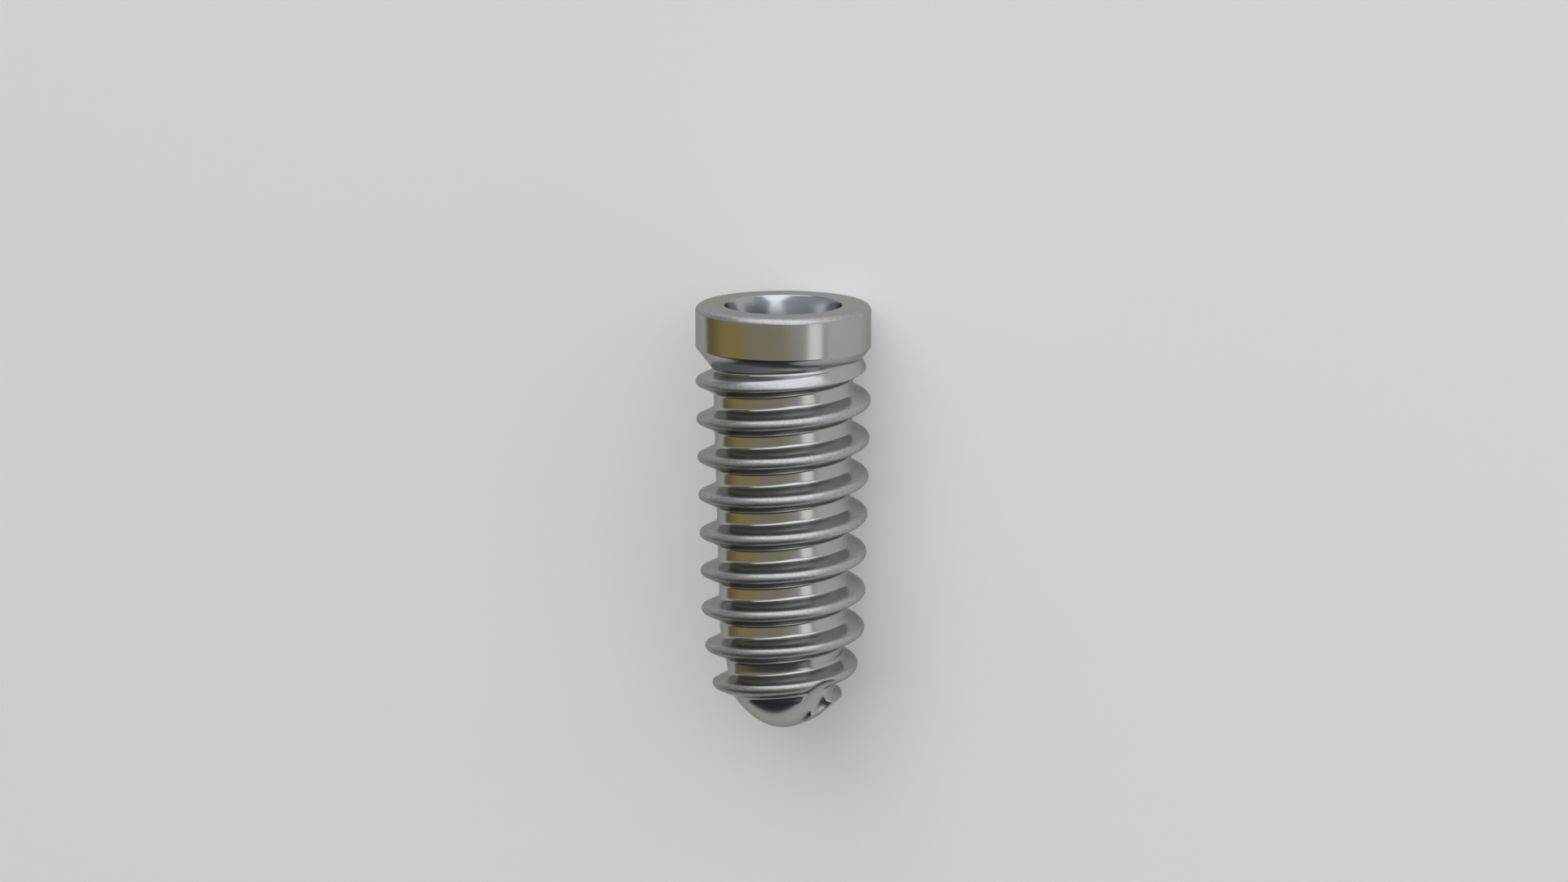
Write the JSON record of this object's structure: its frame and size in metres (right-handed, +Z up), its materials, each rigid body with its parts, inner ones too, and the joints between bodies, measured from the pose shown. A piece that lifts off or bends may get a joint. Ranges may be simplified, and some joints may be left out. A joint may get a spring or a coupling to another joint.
{
  "type": "dental implant",
  "caption": "One-piece threaded root implant with a smooth collar, an internal cone and hexagon connection, a tapered self-tapping body and a rounded apex.",
  "frame": {"origin": "on the ground plane under the middle of the implant's length, as it lies on its side", "axes": "+Y along the implant's axis, from the apex to the platform; +Z up, away from the ground; +X to the right"},
  "size_m": [0.004, 0.01, 0.0041],
  "materials": {
    "titanium": "bare machined titanium, polished on the collar and thread"
  },
  "bodies": {
    "root": {"implant_body": "titanium"}
  },
  "joints": []
}
